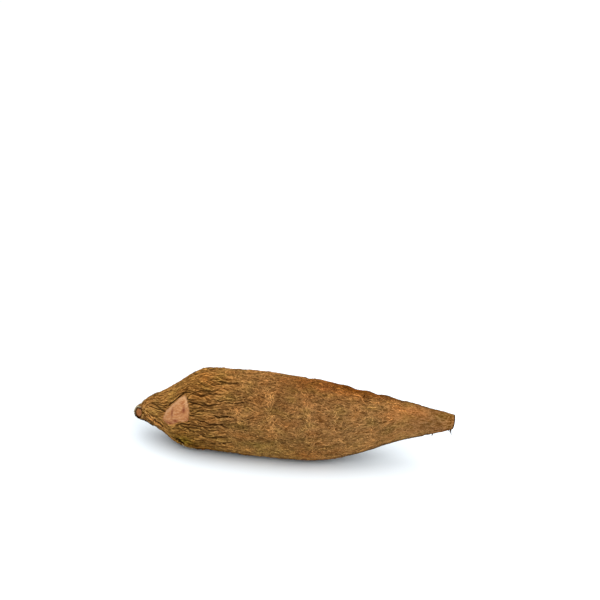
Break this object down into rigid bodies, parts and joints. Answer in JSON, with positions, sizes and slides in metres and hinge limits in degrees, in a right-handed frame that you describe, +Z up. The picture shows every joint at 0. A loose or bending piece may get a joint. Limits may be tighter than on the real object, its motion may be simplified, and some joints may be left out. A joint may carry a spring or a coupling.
{
  "type": "cassava root",
  "caption": "Whole unpeeled cassava root lying on its side: a long tapering root with cracked brown bark, a broken neck and a cut tail.",
  "frame": {"origin": "on the surface it lies on, under the middle of the root's box", "axes": "+X along the root from its neck to its tail, +Y to its back, +Z up"},
  "size_m": [0.2548, 0.0652, 0.0632],
  "materials": {
    "bark": "rough brown bark with darker cracks, matte"
  },
  "bodies": {
    "root": {"cassava_root": "bark"}
  },
  "joints": []
}
